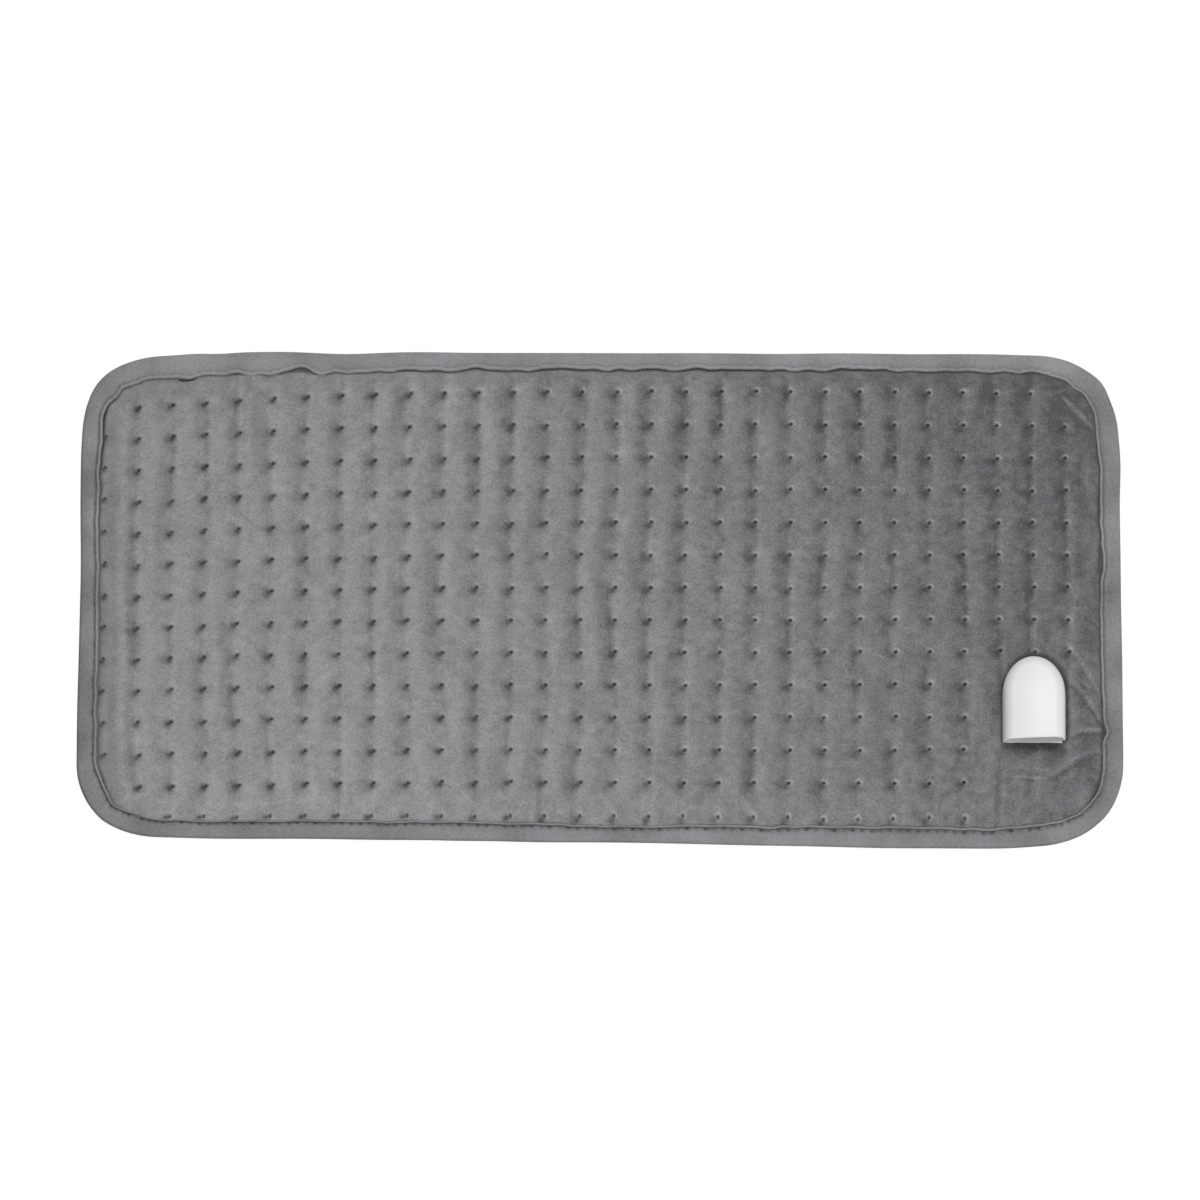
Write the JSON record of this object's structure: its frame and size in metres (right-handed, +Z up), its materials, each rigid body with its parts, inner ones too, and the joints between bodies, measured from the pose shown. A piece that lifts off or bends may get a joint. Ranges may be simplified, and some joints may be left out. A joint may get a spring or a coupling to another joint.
{
  "type": "heating pad with plug-in socket",
  "caption": "Soft rectangular electric heating pad: tufted plush covers, bound edge, serpentine heating wire between felt layers, and a domed plastic socket for a plug-in control lead",
  "frame": {"origin": "middle of the pad's footprint, on the surface it lies on", "axes": "+X along the long side towards the socket, +Y across the pad away from the socket's mouth, +Z up out of the front cover"},
  "size_m": [0.61, 0.305, 0.0255],
  "materials": {
    "plush_grey": "short brushed micro-plush pile",
    "binding_grey": "fine smooth knit tape",
    "felt_white": "bonded needle felt",
    "silicone_white": "smooth matte insulation",
    "abs_white": "fine satin moulding",
    "pbt_black": "matte moulding",
    "shrink_black": "shrunk sleeve",
    "brass": "turned",
    "zinc_steel": "zinc plated"
  },
  "bodies": {
    "root": {"back_cover": "plush_grey", "back_batting": "felt_white", "wire_scrim": "felt_white", "heating_wire": "silicone_white", "thermostat": "pbt_black", "front_batting": "felt_white", "front_cover": "plush_grey", "edge_binding": "binding_grey", "return_lead": "silicone_white", "splice_sleeve_start": "shrink_black", "splice_sleeve_return": "shrink_black", "socket_shell": "abs_white", "socket_base": "abs_white", "contact_block": "pbt_black", "clamp_plate": "abs_white", "contact_pin_1": "brass", "contact_pin_2": "brass", "contact_pin_3": "brass", "contact_pin_4": "brass", "lead_1": "silicone_white", "lead_2": "silicone_white", "lead_3": "silicone_white", "lead_4": "silicone_white", "clamp_screw_1": "zinc_steel", "clamp_screw_2": "zinc_steel", "clamp_screw_3": "zinc_steel"}
  },
  "joints": []
}
